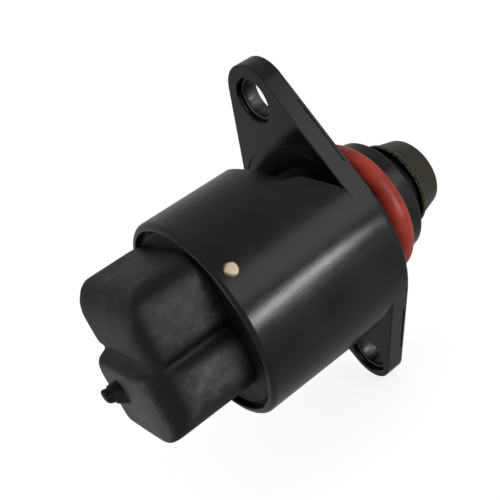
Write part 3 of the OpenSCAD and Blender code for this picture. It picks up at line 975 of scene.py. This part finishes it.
@dataclass
class Connector:
    """The cover's disc with its two moulded blocks, the socket and the lug."""

    closed_mm: float = -11.6
    mouth_mm: float = 10.5
    joint_mm: float = 1.2
    upper_rear_mm: float = -41.2
    lower_rear_mm: float = -43.2
    upper_top_mm: float = 12.7
    near_top_mm: float = 13.6
    lower_bottom_mm: float = -12.6
    near_bottom_mm: float = -10.6
    disc_t_mm: float = 1.6
    disc_r_mm: float = 15.75
    socket_y_mm: float = -4.0
    socket_low_mm: float = -9.94
    socket_top_mm: float = 10.2
    socket_wall_mm: float = 2.0
    web_inset_mm: tuple[float, float] = (1.2, 2.6)
    web_half_mm: float = 2.0
    lug_place_mm: tuple[float, float] = (3.2, -3.5)
    lug_lean: tuple[float, float] = (0.15, -0.42)
    bush_bore_mm: float = 5.02
    bush_depth_mm: float = 2.5
    grain_mm: float = 0.36
    skin_passes: int = 11
    # Painted light and shade for each kind of face, with pairs for the upper and the lower block: higher shares
    # paint a face lighter as if lit, lower ones darker as if in shade.
    disc_painted_shade: float = 0.12
    lug_painted_light: float = 0.25
    top_painted_shade: float = 0.14
    rear_painted_light: tuple[float, float] = (0.3, 2.6)
    side_painted_light: tuple[float, float] = (0.6, 1.05)
    groove_painted_shade: float = 0.25

    def __post_init__(self) -> None:
        """Reads the disc's place from the frame."""
        low, high = span("connector_cover")
        self.seat = high.x
        self.disc_rear = high.x - self.disc_t_mm
        self.lug_end = low.x

    def block(self, side: list, plan: list, section: list) -> bpy.types.Object:
        """Makes a block as what its three outlines share.

        Args:
            side: the outline seen along Y.
            plan: the outline seen along Z.
            section: the outline seen along X.

        Returns:
            The block.
        """
        views = ((Plane.SIDE, side, -THROUGH_MM, THROUGH_MM), (Plane.PLAN, plan, -THROUGH_MM, THROUGH_MM),
                 (Plane.SECTION, section, -50, -20))
        solids = []
        for plane, corners, start, end in views:
            solid = Solid()
            solid.prism(plane, corners, start, end)
            solids.append(solid.piece("block"))
        for other in solids[1:]:
            combine(solids[0], other, Cut.COMMON)
        return solids[0]

    def upper(self) -> bpy.types.Object:
        """Makes the upper block.

        Returns:
            The block.
        """
        rear, front, low, top = self.upper_rear_mm, self.disc_rear + 0.5, self.joint_mm, self.upper_top_mm
        return self.block(
            [(rear, low, 2.2), (front, low, 0), (front, top + 0.9, 0), (rear, top + 0.9, 6.2)],
            [(rear, self.closed_mm, 3.8), (front, self.closed_mm, 0), (front, self.mouth_mm, 0),
             (rear, self.mouth_mm, 0.8)],
            [(self.closed_mm, low, 3.0), (self.mouth_mm, low, 0), (self.mouth_mm, top, 0.5),
             (self.closed_mm, self.near_top_mm, 3.8)])

    def lower(self) -> bpy.types.Object:
        """Makes the lower block.

        Returns:
            The block.
        """
        rear, front, low, top = self.lower_rear_mm, self.disc_rear + 0.5, self.lower_bottom_mm, self.joint_mm
        return self.block(
            [(rear, low, 2.2), (front, low, 0), (front, top, 0), (rear, top, 2.4)],
            [(rear, self.closed_mm, 8.0), (front, self.closed_mm, 0), (front, self.mouth_mm, 0),
             (rear, self.mouth_mm, 0.8)],
            [(self.closed_mm, self.near_bottom_mm, 8.0), (self.mouth_mm, low, 0.5), (self.mouth_mm, top, 0),
             (self.closed_mm, top, 3.0)])

    def web(self) -> bpy.types.Object:
        """Makes the strip of material at the bottom of the groove between the blocks.

        Returns:
            The strip.
        """
        solid = Solid()
        rear, near = self.upper_rear_mm + self.web_inset_mm[0], self.closed_mm + self.web_inset_mm[1]
        solid.prism(Plane.PLAN, [(rear, near, 4.0), (self.disc_rear, near, 0), (self.disc_rear, self.mouth_mm, 0),
                                 (rear, self.mouth_mm, 0.5)],
                    self.joint_mm - self.web_half_mm, self.joint_mm + self.web_half_mm)
        return solid.piece("web")

    def ring(self, rear: float, front: float, inner: float, outer: float) -> bpy.types.Object:
        """Makes a plain tube that a cut uses.

        Args:
            rear: where it starts along the axis, in millimetres.
            front: where it ends.
            inner: its inner radius.
            outer: its outer radius.

        Returns:
            The tube.
        """
        solid = Solid()
        solid.lathe([Corner(rear, inner), Corner(rear, outer), Corner(front, outer), Corner(front, inner)], 160)
        return solid.piece("ring")

    def disc(self) -> bpy.types.Object:
        """Makes the cover's disc.

        Returns:
            The disc.
        """
        solid = Solid()
        solid.lathe([Corner(self.disc_rear, 0), Corner(self.disc_rear, self.disc_r_mm, 0.35, 4),
                     Corner(self.seat, self.disc_r_mm), Corner(self.seat, 0)])
        return solid.piece("disc")

    def lug(self) -> bpy.types.Object:
        """Makes the lug on the lower block's back, which leans upwards to a small round stub.

        Returns:
            The lug.
        """
        rear = self.lower_rear_mm
        solid = Solid()
        solid.lathe([Corner(rear + 1.2, 0), Corner(rear + 1.2, 2.3), Corner(rear - 0.1, 2.1, 0.5, 3),
                     Corner(rear - 1.6, 1.62, 0.3, 4), Corner(rear - 1.7, 1.32, 0.08, 2),
                     Corner(self.lug_end, 1.2, 0.6, 6), Corner(self.lug_end, 0)], 64)
        lean = Matrix.Identity(4)
        lean[1][0], lean[2][0] = self.lug_lean
        bmesh.ops.translate(solid.bm, verts=solid.bm.verts[:], vec=Vector((-rear, 0, 0)) * MM)
        bmesh.ops.transform(solid.bm, matrix=lean, verts=solid.bm.verts[:])
        solid.move(rear, *self.lug_place_mm)
        return solid.piece("lug")

    def socket(self) -> bpy.types.Object:
        """Makes the cutter of the socket, wider at the back of the lower block.

        Returns:
            The cutter.
        """
        front, low, top = self.disc_rear - 3, self.socket_low_mm, self.socket_top_mm
        back, wide = self.upper_rear_mm + self.socket_wall_mm, self.lower_rear_mm + self.socket_wall_mm
        main = Solid()
        main.prism(Plane.SIDE, [(back, low, 0), (front, low, 0.8), (front, top, 0.8), (back, top, 2.5)],
                   self.socket_y_mm, self.mouth_mm + 1)
        key = Solid()
        key.prism(Plane.SIDE, [(wide, low, 1.2), (back + 1, low, 0), (back + 1, self.joint_mm - 2, 0),
                               (wide, self.joint_mm - 2, 0.8)], self.socket_y_mm, self.mouth_mm + 1)
        cutter = main.piece("socket")
        combine(cutter, key.piece("key"), Cut.ADD)
        return cutter

    def paint_face_light(self, piece: bpy.types.Object, passes: int = 5) -> None:
        """Stores painted light and shade at each point: the open flat faces lightest, as if lit, round corners and
        the disc darkest, as if in shade.

        Args:
            piece: the connector.
            passes: how often the values are evened out.
        """
        bm = bmesh.new()
        bm.from_mesh(piece.data)
        bm.normal_update()
        layer = bm.verts.layers.float.new(PAINTED_LIGHT_ATTR)
        for vert in bm.verts:
            spot, way = vert.co / MM, vert.normal
            # Rounded corners get a smaller share, which paints shade along them.
            flat = min(max((max(abs(c) for c in way) - 0.84) / 0.14, 0.0), 1.0)
            lower = int(spot.z < self.joint_mm)
            # Each kind of face gets its share of painted light: the disc and the tops dark as if in shade, the
            # lower block's back light as if lit.
            if spot.x > self.disc_rear - 1.2:
                share = self.disc_painted_shade
            elif spot.x < self.lower_rear_mm - 0.3:
                share = self.lug_painted_light
            elif way.z > 0.7:
                share = self.top_painted_shade
            elif way.x < -0.7:
                share = self.rear_painted_light[lower]
            else:
                share = self.side_painted_light[lower]
            # The groove between the blocks gets painted shade.
            if abs(spot.z - self.joint_mm) < self.web_half_mm and spot.y < self.closed_mm + 3.5:
                share *= self.groove_painted_shade
            vert[layer] = flat * share
        for _ in range(passes):
            values = [(v[layer] + sum(e.other_vert(v)[layer] for e in v.link_edges)) / (len(v.link_edges) + 1)
                      for v in bm.verts]
            for vert, value in zip(bm.verts, values):
                vert[layer] = value
        bm.to_mesh(piece.data)
        bm.free()

    def build(self) -> list[bpy.types.Object]:
        """Builds the connector and dresses it.

        Returns:
            The piece.
        """
        piece = self.upper()
        for other in (self.lower(), self.web()):
            combine(piece, other, Cut.ADD)
        combine(piece, self.ring(self.disc_rear - 1.1, self.seat + 1, self.disc_r_mm, 30), Cut.TAKE)
        melt(piece, self.grain_mm, self.skin_passes)
        for other in (self.lug(), self.disc()):
            combine(piece, other, Cut.ADD)
        combine(piece, self.socket(), Cut.TAKE)
        combine(piece, self.ring(self.seat - self.bush_depth_mm, self.seat + 1, 0, self.bush_bore_mm), Cut.TAKE)
        piece.name = piece.data.name = "connector_shell"
        shade(piece, 38)
        self.paint_face_light(piece)
        return [dress(piece, MottledCover().material(), "valve_body", "moulded_connector", "connector_cover")]


@dataclass
class Sleeves:
    """The metal sleeves in the ear holes."""

    bore_mm: float = 3.1
    lip_mm: float = 0.3

    def sleeve(self, node: str, finish: bpy.types.Material) -> bpy.types.Object:
        """Makes one sleeve.

        Args:
            node: the node that it stands for.
            finish: its material.

        Returns:
            The piece.
        """
        low, high = span(node)
        outer = (high.y - low.y) / 2
        solid = Solid()
        solid.lathe([Corner(low.x, outer, 0.12, 2), Corner(high.x, outer, 0.12, 2),
                     Corner(high.x, self.bore_mm, self.lip_mm, 4), Corner(low.x, self.bore_mm, self.lip_mm, 4)], 96)
        solid.move(z=(low.z + high.z) / 2)
        piece = solid.piece(f"{node}_bush")
        shade(piece)
        return dress(piece, finish, "valve_body", "sleeve_steel", node)

    def build(self) -> list[bpy.types.Object]:
        """Builds both sleeves.

        Returns:
            The pieces.
        """
        finish = INNER_FINISHES["sleeve_steel"].material()
        return [self.sleeve(node, finish) for node in ("upper_sleeve", "lower_sleeve")]


@dataclass
class Bead:
    """The lump of compound that seals the hole in the can."""

    radius_mm: float = 1.14
    proud_mm: float = 0.5
    lumps: float = 0.12
    lump_scale: float = 1.3
    lump_shift: tuple[float, float, float] = (3.0, 1.0, 7.0)
    sunk_mm: float = 0.05

    def build(self) -> list[bpy.types.Object]:
        """Builds the bead and dresses it.

        Returns:
            The piece.
        """
        low, high = span("sealing_bead")
        centre = (low + high) / 2
        can_r = span("housing")[1].y
        out = Vector((0, centre.y, centre.z)).normalized()
        solid = Solid()
        bmesh.ops.create_icosphere(solid.bm, subdivisions=4, radius=self.radius_mm * MM)
        for vert in solid.bm.verts:
            lump = noise.noise(vert.co / MM * self.lump_scale + Vector(self.lump_shift))
            vert.co *= 1 + lump * self.lumps
        bmesh.ops.scale(solid.bm, vec=(1, 1, self.proud_mm / self.radius_mm), verts=solid.bm.verts[:])
        bmesh.ops.rotate(solid.bm, verts=solid.bm.verts[:], cent=(0, 0, 0),
                         matrix=out.to_track_quat("Z", "Y").to_matrix())
        spot = Vector((centre.x, 0, 0)) + out * (can_r - self.sunk_mm)
        solid.move(*spot)
        piece = solid.piece("bead_lump")
        shade(piece, 80)
        finish = BeadCompound(tuple(spot * MM), self.radius_mm)
        return [dress(piece, finish.material(), "valve_body", "bead_compound", "sealing_bead")]


@dataclass
class Pintle:
    """The pintle's head: neck, rough band and smooth cone."""

    neck_mm: float = 0.8
    band_mm: float = 1.0
    band_r_mm: float = 8.1
    neck_r_mm: float = 7.3
    cone_r_mm: float = 7.5
    tip_r_mm: float = 6.3
    tip_round_mm: float = 0.9
    screw_r_mm: float = 2.42
    screw_depth_mm: float = 2.4
    boss_r_mm: float = 3.8
    recess_r_mm: float = 6.5
    recess_mm: float = 2.4

    def build(self) -> list[bpy.types.Object]:
        """Builds the head and dresses it.

        Returns:
            The piece.
        """
        low, high = span("pintle_head")
        rear, tip = low.x, high.x
        band_rear = rear + self.neck_mm
        band_front = band_rear + self.band_mm
        solid = Solid()
        solid.lathe([
            Corner(rear, self.screw_r_mm), Corner(rear, self.boss_r_mm, 0.1, 2),
            Corner(rear + self.recess_mm, self.boss_r_mm), Corner(rear + self.recess_mm, self.recess_r_mm),
            Corner(rear, self.recess_r_mm, 0.1, 2), Corner(rear, self.neck_r_mm, 0.1, 2),
            Corner(band_rear, self.neck_r_mm),
            Corner(band_rear, self.band_r_mm, 0.12, 3), Corner(band_front, self.band_r_mm - 0.25, 0.1, 3),
            Corner(band_front, self.cone_r_mm + 0.05, 0.05, 2), Corner(band_front + 0.3, self.cone_r_mm - 0.02),
            Corner(tip, self.tip_r_mm, self.tip_round_mm, 8), Corner(tip, 0),
            Corner(tip - self.screw_depth_mm, 0), Corner(tip - self.screw_depth_mm, self.screw_r_mm),
        ])
        piece = solid.piece("pintle_tip")
        shade(piece)
        finish = PintleCoat(band_rear, band_front)
        return [dress(piece, finish.material(), "pintle", "pintle_metal", "pintle_head")]


@dataclass
class NodeFinishes:
    """The finishes of the nodes that show as the frame has them."""

    made: dict[str, bpy.types.Material] = field(default_factory=dict)

    def material(self, slot: str) -> bpy.types.Material:
        """The material of a slot, made when it is first asked for."""
        if slot not in self.made:
            self.made[slot] = self.finish(slot).material()
        return self.made[slot]

    def finish(self, slot: str) -> object:
        """The finish of a slot of the record.

        Args:
            slot: the slot's name.

        Returns:
            The finish.
        """
        low, high = span("sealing_bead")
        others = {
            "moulded_connector": MottledCover(),
            "moulded_housing": MouldedHousing(),
            "ring_rubber": RingRubber(),
            "pintle_metal": PintleCoat(13.8, 14.8),
            "bead_compound": BeadCompound(tuple((low + high) / 2 * MM), 0.8),
        }
        return others.get(slot) or INNER_FINISHES[slot]

    def build(self) -> list[bpy.types.Object]:
        """Gives every node of the frame its material.

        Returns:
            The nodes' objects.
        """
        dressed = []
        for part in frame["record"]["subparts"]:
            node = frame["nodes"][part["node"]]
            for place in node.material_slots:
                place.link = "OBJECT"
                place.material = self.material(part["material_slot"])
            dressed.append(node)
        return dressed


@dataclass
class Camera:
    """The camera at the photograph's viewing angle."""

    place_mm: tuple[float, float, float] = (-67.66, -116.01, 49.44)
    sight: tuple[float, float, float] = (0.3900, 0.8599, -0.3292)
    roll_deg: float = -25.97
    lens_mm: float = 61.2

    def build(self) -> list[bpy.types.Object]:
        """Makes the scene's camera.

        Returns:
            The camera.
        """
        data = bpy.data.cameras.new("camera")
        data.lens = self.lens_mm
        data.sensor_width = 36.0
        data.clip_start = 0.01
        camera = bpy.data.objects.new("camera", data)
        turn = Vector(self.sight).to_track_quat("-Z", "Y") @ Quaternion((0, 0, 1), math.radians(self.roll_deg))
        camera.matrix_world = Matrix.Translation(Vector(self.place_mm) * MM) @ turn.to_matrix().to_4x4()
        bpy.context.scene.collection.objects.link(camera)
        bpy.context.scene.camera = camera
        return [camera]


@dataclass
class Softbox:
    """One soft lamp, aimed at the valve's middle."""

    name: str
    place_mm: tuple[float, float, float]
    along: tuple[float, float, float]
    length_mm: float
    height_mm: float
    power: float

    def build(self) -> bpy.types.Object:
        """Makes the lamp.

        Returns:
            The lamp.
        """
        data = bpy.data.lights.new(self.name, "AREA")
        data.shape = "RECTANGLE"
        data.size = self.length_mm * MM
        data.size_y = self.height_mm * MM
        data.energy = self.power
        lamp = bpy.data.objects.new(self.name, data)
        lamp.visible_camera = False
        back = Vector(self.place_mm).normalized()
        run = Vector(self.along)
        run = (run - back * run.dot(back)).normalized()
        turn = Matrix((run, back.cross(run), back)).transposed()
        lamp.matrix_world = Matrix.Translation(Vector(self.place_mm) * MM) @ turn.to_4x4()
        bpy.context.scene.collection.objects.link(lamp)
        return lamp


@dataclass
class Studio:
    """Pale floor, pale world and soft lamps."""

    floor_gap_mm: float = 0.3
    floor_mm: float = 4000.0
    world_level: float = 0.38
    floor_white: float = 0.785
    floor_shade: float = 0.55
    floor_gloss: float = 0.19
    world_gloss: float = 0.1
    lamps: tuple[Softbox, ...] = (
        Softbox("strip_lamp", (36, -153, -9), (57, 29, 36), 66, 13, 0.074),
        Softbox("broad_lamp", (150, -350, 180), (0.9, 0.4, 0), 300, 190, 0.26),
        Softbox("rear_lamp", (-330, 60, 40), (0, 1, 0), 200, 140, 0.12),
    )

    def white_to_camera(self, tree: bpy.types.NodeTree, lit: bpy.types.NodeSocket, white: bpy.types.NodeSocket,
                        gloss_share: float) -> bpy.types.NodeSocket:
        """Shows white to rays from the camera, and a share of it by way of gloss and glass.

        Args:
            tree: the node tree.
            lit: the lit shader.
            white: the white shader.
            gloss_share: how much of it a ray by way of gloss or glass sees.

        Returns:
            The mixed shader's socket.
        """
        rays = tree.nodes.new("ShaderNodeLightPath")
        part = Signal(tree, rays.outputs["Is Camera Ray"])
        for other in ("Is Glossy Ray", "Is Transmission Ray"):
            part = part.math("MAXIMUM", part, Signal(tree, rays.outputs[other]) * gloss_share)
        mix = tree.nodes.new("ShaderNodeMixShader")
        tree.links.new(part.socket, mix.inputs[0])
        tree.links.new(lit, mix.inputs[1])
        tree.links.new(white, mix.inputs[2])
        return mix.outputs[0]

    def floor(self) -> bpy.types.Object:
        """Makes the pale floor.

        White is added to its lit shade for the camera, so the open floor is white and the shadow stays.

        Returns:
            The floor.
        """
        low = CAD_BOX[0][2] / MM - self.floor_gap_mm
        solid = Solid()
        bmesh.ops.create_grid(solid.bm, x_segments=1, y_segments=1, size=self.floor_mm * MM)
        solid.move(z=low)
        made = solid.piece("floor")
        paint = Paint("floor_paper")
        paint.set(Base_Color=rgb(self.floor_shade, self.floor_shade, self.floor_shade), Roughness=0.9)
        glow = paint.node("ShaderNodeEmission", Color=rgb(1, 1, 1), Strength=self.floor_white)
        bright = paint.tree.nodes.new("ShaderNodeAddShader")
        for place, part in zip(bright.inputs, (paint.shader, glow)):
            paint.fill(place, part.outputs[0])
        out = paint.tree.nodes["Material Output"]
        mixed = self.white_to_camera(paint.tree, paint.shader.outputs[0], bright.outputs[0], self.floor_gloss)
        paint.tree.links.new(mixed, out.inputs["Surface"])
        made.data.materials.append(paint.material)
        return made

    def world(self) -> None:
        """Makes the pale world, which shows white."""
        world = bpy.data.worlds.new("studio")
        bpy.context.scene.world = world
        world.use_nodes = True
        tree = world.node_tree
        dim = tree.nodes["Background"]
        dim.inputs["Color"].default_value = rgb(1, 1, 1)
        dim.inputs["Strength"].default_value = self.world_level
        white = tree.nodes.new("ShaderNodeBackground")
        white.inputs["Color"].default_value = rgb(1, 1, 1)
        white.inputs["Strength"].default_value = 1.0
        mixed = self.white_to_camera(tree, dim.outputs[0], white.outputs[0], self.world_gloss)
        tree.links.new(mixed, tree.nodes["World Output"].inputs["Surface"])

    def build(self) -> list[bpy.types.Object]:
        """Builds the world, the floor and the lamps.

        Returns:
            The floor and the lamps.
        """
        self.world()
        return [self.floor()] + [lamp.build() for lamp in self.lamps]


def main() -> None:
    """Builds the scene in order and reports each piece."""
    logging.basicConfig(level=logging.INFO, format="%(message)s")
    for maker in (Camera(), Studio(), NodeFinishes(), Housing(), Connector(), Sleeves(), Bead(), Pintle()):
        for piece in maker.build():
            LOG.info("%s: %s", type(maker).__name__, piece.name)
    bpy.context.scene.view_settings.view_transform = "Standard"
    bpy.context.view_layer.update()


if __name__ == "__main__":
    main()
